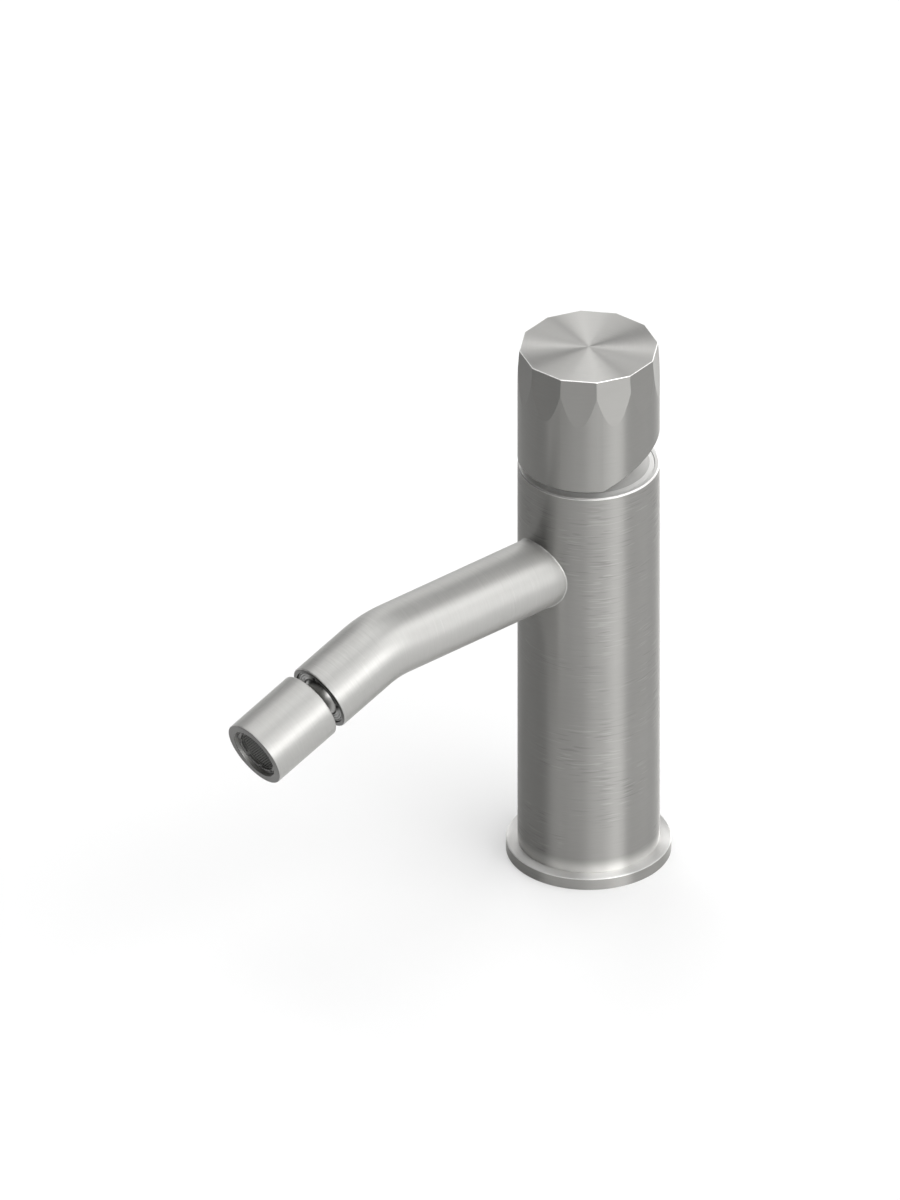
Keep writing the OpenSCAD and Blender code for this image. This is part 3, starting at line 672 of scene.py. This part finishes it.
def spout_stations():
    """(point, direction) pairs along the spout's centre line, from its root to its end."""
    tangent = BEND_R * math.tan(SPOUT_BEND / 2)
    straight_end = SPOUT_REACH - tangent
    out = []
    for k in range(STRAIGHT_STEPS + 1):
        y = SPOUT_ROOT_Y - (straight_end + SPOUT_ROOT_Y) * k / STRAIGHT_STEPS
        out.append((Vector((0, y, SPOUT_Z)), Vector((0, -1, 0))))
    for k in range(1, BEND_STEPS + 1):
        a = SPOUT_BEND * k / BEND_STEPS
        point = Vector((0, -straight_end - BEND_R * math.sin(a), SPOUT_Z - BEND_R * (1 - math.cos(a))))
        out.append((point, Vector((0, -math.cos(a), -math.sin(a)))))
    direction = out[-1][1]
    corner = Vector((0, -SPOUT_REACH, SPOUT_Z))
    for k in range(1, TAIL_STEPS + 1):
        t = tangent + (SPOUT_TAIL - tangent) * k / TAIL_STEPS
        out.append((corner + direction * t, direction))
    return out


def spout_ring(station, radius, angles, back=0.0):
    """A ring round a station of the spout, moved back along its direction."""
    point, direction = station
    side = Vector((1, 0, 0))
    up = side.cross(direction)
    centre = point - direction * back
    return [centre + (side * math.cos(a) + up * math.sin(a)) * radius for a in angles]


def make_spout():
    """The bent pipe, whose end turns in to its bore, with painted shade from the middle of that turn on: a
    dark copy of the steel.
    """
    angles = even_angles(144)
    stations = spout_stations()
    length = 20
    lip = rounded([(SPOUT_R, length, 0), (SPOUT_R, 0, LIP_EDGE), (SPOUT_IR, 0, CRISP), (SPOUT_IR, length, 0)],
                  closed=False, steps=LIP_STEPS)
    rings = [spout_ring(s, SPOUT_R, angles) for s in stations[:-1]]
    # From here on the pipe takes painted shade.
    face = len(rings) + LIP_STEPS // 2 + 1
    rings += [spout_ring(stations[-1], r, angles, back) for r, back in lip[1:-1]]
    rings += [spout_ring(s, SPOUT_IR, angles) for s in reversed(stations[:-1])]
    make_piece("spout_pipe", "body", steel_spout_painted_light, rings, angles, SPOUT_R,
               stands_for=["spout_tube"], painted_light_and_shade=[(steel_face_painted_shade, face, len(rings) - 1)])


def make_spout_bead():
    """The small fillet where the spout leaves the column."""
    angles = even_angles(180)

    def on_column(r, a):
        x, z = r * math.cos(a), r * math.sin(a)
        return Vector((x, -math.sqrt(COLUMN_R ** 2 - x * x), SPOUT_Z + z))

    def bead_point(a, t):
        corner = on_column(SPOUT_R, a)
        pipe = corner + Vector((0, -BEAD_WIDTH, 0))
        wall = on_column(SPOUT_R + BEAD_WIDTH, a)
        return pipe * (1 - t) ** 2 + corner * 2 * t * (1 - t) + wall * t * t

    def inside(p):
        return Vector((p.x * BEAD_SHRINK, p.y + BEAD_SINK, SPOUT_Z + (p.z - SPOUT_Z) * BEAD_SHRINK))

    rings = [[bead_point(a, k / BEAD_STEPS) for a in angles] for k in range(BEAD_STEPS + 1)]
    rings += [[inside(p) for p in ring] for ring in (rings[-1], rings[0])]
    make_piece("spout_bead", "body", steel_spout_painted_light, rings, angles, SPOUT_R)


# Knob

def relief_kinks():
    """The columns, in degrees, just beside the line where the knob's relief starts."""
    kink = math.degrees(math.asin(RELIEF_START / KNOB_R))
    return [kink - KINK_GAP, kink + KINK_GAP, 180 - kink - KINK_GAP, 180 - kink + KINK_GAP]


def knob_columns():
    """The knob's columns in degrees: evenly over each facet, and at the relief's kinks."""
    pitch = 360 / FACETS
    degrees = set(relief_kinks())
    for i in range(FACETS):
        for k in range(FACET_COLUMNS + 1):
            degrees.add(round(pitch * i + CORNER_GAP + (pitch - 2 * CORNER_GAP) * k / FACET_COLUMNS, 4))
    return sorted(degrees)


def underside(r, a):
    """Height of the knob's lower edge, which rises in a plane past the relief's start."""
    return KNOB_Z + max(0.0, (r * math.sin(a) - RELIEF_START) * math.tan(RELIEF_SLOPE))


def knob_profile(degrees):
    """The knob's section at an angle: top, bevel, facet, side, lower edge, skirt and pocket."""
    pitch = 360 / FACETS
    a = math.radians(degrees)
    c = math.cos(a - math.radians(pitch * (math.floor(degrees / pitch) + 0.5)))
    apothem = KNOB_R - FACET_DEPTH

    def facet(z):
        return min(KNOB_R, (apothem + (KNOB_TOP - z) * math.tan(FACET_SLOPE)) / c)

    bevel_z = KNOB_TOP - KNOB_BEVEL
    run_out = KNOB_TOP - (KNOB_R * c - apothem) / math.tan(FACET_SLOPE)
    shoulder = facet(bevel_z) - KNOB_BEVEL
    points = [(shoulder * f, KNOB_TOP) for f in TOP_RINGS]
    for k in range(BEVEL_STEPS + 1):
        t = math.pi / 2 * (1 - k / BEVEL_STEPS)
        points.append((shoulder + KNOB_BEVEL * math.cos(t), bevel_z + KNOB_BEVEL * math.sin(t)))
    for k in range(1, SIDE_STEPS + 1):
        z = bevel_z + (run_out + FACET_FADE - bevel_z) * k / SIDE_STEPS
        points.append((facet(z), z))
    low = underside(KNOB_R, a)
    side_top = run_out - FACET_FADE
    for k in range(SIDE_STEPS + 1):
        points.append((KNOB_R, side_top + (low + KNOB_FILLET - side_top) * k / SIDE_STEPS))
    for k in (1, 2, 3):
        t = math.pi / 2 * k / 3
        points.append((KNOB_R - KNOB_FILLET * (1 - math.cos(t)), low + KNOB_FILLET * (1 - math.sin(t)) * 0.9))
    for r in (KNOB_R - KNOB_FILLET - 0.1, (KNOB_R + SKIRT_IR) / 2, SKIRT_IR + SKIRT_EDGE):
        points.append((r, underside(r, a)))
    inner = underside(SKIRT_IR, a)
    return points + [
        (SKIRT_IR + 0.04, inner + 0.05), (SKIRT_IR, inner + SKIRT_EDGE), (SKIRT_IR, inner + 0.4),
        (SKIRT_IR, SKIRT_TOP - SOFT), (SKIRT_IR - 0.08, SKIRT_TOP - 0.08), (SKIRT_IR - SOFT, SKIRT_TOP),
        (POCKET_R + POCKET_EDGE, SKIRT_TOP), (POCKET_R, SKIRT_TOP + POCKET_EDGE),
        (POCKET_R, POCKET_TOP - POCKET_EDGE), (POCKET_R - POCKET_EDGE, POCKET_TOP), (0, POCKET_TOP),
    ]


def make_knob():
    """The faceted knob, with a paler steel painted on its top as painted light and a near-white one on its
    bevel as a painted highlight.
    """
    columns = knob_columns()
    kinks = relief_kinks()
    angles = [math.radians(degrees) for degrees in columns]

    def bent(r, z, a, degrees):
        """A column's angle, or on the lower edge that of the straight line where the relief starts."""
        if degrees not in kinks or not SKIRT_IR <= r <= KNOB_R or z >= SKIRT_TOP - 1:
            return a
        turn = math.asin(RELIEF_START / r)
        if degrees > 90:
            turn = math.pi - turn
        return turn + math.radians(KINK_GAP if kinks.index(degrees) % 2 else -KINK_GAP)

    turned = Matrix.Rotation(KNOB_TURN, 4, "Z")
    rings, levels = [], []
    for row in zip(*[knob_profile(degrees) for degrees in columns]):
        rings.append([turned @ on_circle(r, bent(r, z, a, degrees), z)
                      for (r, z), a, degrees in zip(row, angles, columns)])
        levels.append([z + KNOB_R - r for r, z in row])
    # The top's rings get painted light and the bevel's get a painted highlight.
    bevel = len(TOP_RINGS)
    make_piece("knob_body", "knob", steel_knob, rings, angles, KNOB_R, False, ["knob_shell"],
               levels, [(steel_crown_painted_light, 0, bevel), (steel_edge_painted_highlight, bevel, bevel + BEVEL_STEPS)])


# Swivelling outlet

def outlet_place():
    """The outlet's own frame: the ball's centre, with the third direction along the spin's axis."""
    spin = next(j for j in frame["joints"] if j["name"] == "outlet_spin")
    axis = Vector(spin["axis"]).normalized()
    side = Vector((1, 0, 0))
    turned = Matrix((side, axis.cross(side), axis)).transposed().to_4x4()
    return Matrix.Translation(Vector(spin["pos_m"]) / MM) @ turned


OUTLET = outlet_place()


def make_ball():
    """The ball and the stud that carries the barrel."""
    profile = [(BALL_BORE_R, -math.sqrt(BALL_R ** 2 - BALL_BORE_R ** 2), FINE)]
    for degrees in range(-56, 49, 4):
        lean = math.radians(degrees)
        r, z = BALL_R * math.cos(lean), BALL_R * math.sin(lean)
        if z < BALL_TOP and r >= BALL_BORE_R:
            profile.append((r, z, 0))
    profile += [
        (NECK_R + 0.15, BALL_TOP + 0.12, 0), (NECK_R, BALL_TOP + 0.35, 0), (NECK_R, STUD_TOP, FINE),
        (STUD_R, STUD_TOP, FINE), (STUD_R, STUD_END, 0.2), (BALL_BORE_R, STUD_END, FINE),
    ]
    lathe("ball_joint", "outlet", steel_ball, rounded(profile), OUTLET, 128, ["ball_stud"])


def ring_profile(drop):
    """The swivel ring's section, with its face dropped by a slot's depth."""
    face = RING_FACE - drop
    groove = face if drop else face - GROOVE_DEPTH
    points = [(RING_CUP_R, RING_BACK), (RING_R, RING_BACK), (RING_R, face - RING_EDGE),
              (RING_R - RING_EDGE, face)]
    for r in GROOVE_RADII:
        inner = r - GROOVE_W
        points += [(r, face), (r - GROOVE_SLANT, groove), (inner + GROOVE_SLANT, groove), (inner, face)]
    points[-1] = (math.sqrt(RING_CUP_R ** 2 - face ** 2) + RING_CUP_EDGE, face)
    cup = (face - RING_CUP_EDGE, 1.6, 0.8, 0)
    return points + [(math.sqrt(RING_CUP_R ** 2 - z * z), z) for z in cup]


def make_swivel_ring():
    """The ring nut in the spout's end, with turned grooves round the ball's cup and slots for its wrench."""
    face_r = math.sqrt(RING_CUP_R ** 2 - RING_FACE ** 2)
    half = RING_SLOT_W / (RING_R + face_r)
    slotted("swivel_ring", "body", steel_ring, ring_profile(0),
            ring_profile(RING_SLOT_DEPTH), even_angles(RING_SLOTS), half, OUTLET, ["swivel_nut"])


def make_barrel():
    """The outlet's barrel, with painted shade on its end and in its bore: a dark copy of the steel."""
    profile = rounded([
        (SPOUT_R, BARREL_TOP, LIP_EDGE), (SPOUT_R, BARREL_MIDDLE, 0), (SPOUT_R, BARREL_END, SOFT),
        (MOUTH_R, BARREL_END, MOUTH_EDGE), (MOUTH_R, STUD_END, FINE), (BARREL_NECK_R, STUD_END, FINE),
        (BARREL_NECK_R, BARREL_TOP, MOUTH_EDGE),
    ], steps=5)
    # The end face and the bore take painted shade.
    face = between(profile, lambda r, z: z > BARREL_END - 0.2 and r < SPOUT_R - 0.1)
    lathe("barrel_body", "outlet", steel_spout_painted_light, profile, OUTLET, 176, ["outlet_barrel"],
          [(steel_face_painted_shade, *face)])


def aerator_profile(drop):
    """The aerator housing's section, with the inner half of its end dropped by a notch's depth."""
    middle = (AERATOR_R + AERATOR_IR) / 2
    bore = AERATOR_IR - AERATOR_SHELF
    end = AERATOR_END
    track = end - TRACK_DEPTH
    notch = end - drop
    return [
        (AERATOR_R, AERATOR_BACK), (AERATOR_R, end - AERATOR_EDGE), (AERATOR_R - AERATOR_EDGE, end),
        (AERATOR_R - TRACK_OUT, end), (AERATOR_R - TRACK_OUT - TRACK_SLANT, track),
        (AERATOR_R - TRACK_IN + TRACK_SLANT, track), (AERATOR_R - TRACK_IN, end),
        (middle + NOTCH_STEP, end), (middle, end - (NOTCH_STEP if drop else 0)), (middle - 0.01, notch),
        (AERATOR_IR + AERATOR_EDGE, notch), (AERATOR_IR, notch - CRISP), (AERATOR_IR, SCREEN_BACK),
        (bore, SCREEN_BACK), (bore, AERATOR_LEDGE), (AERATOR_IR, AERATOR_LEDGE),
        (AERATOR_IR, AERATOR_BACK),
    ]


def make_aerator():
    """The aerator's housing, whose end has a turned track and small notches for its key."""
    half = NOTCH_W / (AERATOR_R + AERATOR_IR)
    centres = [NOTCH_TURN + a for a in even_angles(NOTCHES)]
    slotted("aerator_ring", "outlet", grey_plastic, aerator_profile(0),
            aerator_profile(NOTCH_DEPTH), centres, half, OUTLET, ["aerator_housing"])


def tube_along(bm, points, side, radius, sides):
    """A closed thin tube along the points, whose section lies across them and contains the side vector."""
    rows = []
    for i, p in enumerate(points):
        ahead = (points[min(i + 1, len(points) - 1)] - points[max(i - 1, 0)]).normalized()
        up = ahead.cross(side)
        ring = [p + (side * math.cos(a) + up * math.sin(a)) * radius for a in even_angles(sides)]
        rows.append([bm.verts.new(q * MM) for q in ring])
    for low, high in zip(rows, rows[1:]):
        for k in range(sides):
            after = (k + 1) % sides
            bm.faces.new((low[k], low[after], high[after], high[k]))
    bm.faces.new(rows[0])
    bm.faces.new(rows[-1])


def make_screen_rim():
    """The thin ring that holds the screen's wires."""
    inner = SCREEN_R - SCREEN_RIM
    profile = rounded([(SCREEN_R, SCREEN_BACK, KEEN), (SCREEN_R, SCREEN_FACE, FINE),
                       (inner, SCREEN_FACE, FINE), (inner, SCREEN_BACK, KEEN)])
    lathe("screen_rim", "outlet", dark_steel, profile, OUTLET, 96, ["outlet_screen"])


def make_screen_wires():
    """Woven wires, each going over and under the ones that it crosses."""
    bm = bmesh.new()
    count = int(WIRE_SPAN / WIRE_PITCH)
    for cross in (0, 1):
        side = OUTLET.to_3x3() @ Vector((1, 0, 0) if cross else (0, 1, 0))
        for i in range(-count, count + 1):
            offset = i * WIRE_PITCH
            reach = int(math.sqrt(WIRE_SPAN ** 2 - offset ** 2) / WIRE_PITCH * WIRE_STEPS)
            if reach < 2:
                continue
            sign = (-1) ** (i + cross)
            points = []
            for k in range(-reach, reach + 1):
                level = SCREEN_FACE - WIRE_DROP + sign * WIRE_R * math.cos(math.pi * k / WIRE_STEPS)
                along = k * WIRE_PITCH / WIRE_STEPS
                points.append(OUTLET @ Vector((offset, along, level) if cross else (along, offset, level)))
            tube_along(bm, points, side, WIRE_R, WIRE_SIDES)
    bmesh.ops.recalc_face_normals(bm, faces=bm.faces)
    wires = add_object("screen_wires", bm, dark_steel)
    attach(wires, "outlet")


# Floor and light

def make_floor():
    """A pale floor that shows as white to the camera and in reflections, and keeps the object's shadow."""
    s = Shader("floor", FLOOR_COLOR, 0.0, 1.0)
    path = s.add("LightPath").outputs
    mirrored = s.math("MAXIMUM", path["Is Glossy Ray"], path["Is Transmission Ray"])
    seen = s.math("MAXIMUM", path["Is Camera Ray"], mirrored)
    s.set(s.main, {"Emission Color": (1, 1, 1, 1), "Emission Strength": s.math("MULTIPLY", seen, FLOOR_GLOW),
                   "Specular IOR Level": 0.0})
    bm = bmesh.new()
    bmesh.ops.create_grid(bm, x_segments=8, y_segments=8, size=FLOOR_SIZE * MM)
    floor = add_object("floor", bm, s.material)


def light_patch(studio, direction, azimuth, elevation, size, soft, power):
    """A soft round patch of light: its direction, angular radius and edge in degrees, and its brightness."""
    a, e = math.radians(azimuth), math.radians(elevation)
    towards = (math.cos(a) * math.cos(e), math.sin(a) * math.cos(e), math.sin(e))
    outer = math.cos(math.radians(size + soft))
    inner = math.cos(math.radians(size - soft))
    nearness = studio.vector("DOT_PRODUCT", direction, towards)
    return studio.remap(nearness, outer, inner, 0.0, power, interpolation_type="SMOOTHSTEP")


def make_studio():
    """A world that lights the object with soft patches and is dark between them."""
    world = bpy.data.worlds.new("studio")
    bpy.context.scene.world = world
    world.use_nodes = True
    studio = Nodes(world.node_tree)
    direction = studio.add("TexCoord").outputs["Generated"]
    total = 0.0
    for light in LIGHTS:
        total = studio.math("ADD", total, light_patch(studio, direction, *light))
    studio.set(world.node_tree.nodes["Background"], {"Color": (1, 1, 1, 1), "Strength": total})


make_camera()
dress_solids()
make_foot()
make_column()
make_cap()
make_spout()
make_spout_bead()
make_knob()
make_ball()
make_swivel_ring()
make_barrel()
make_screen_rim()
make_screen_wires()
make_aerator()
make_floor()
make_studio()
bpy.context.scene.view_settings.view_transform = "Standard"
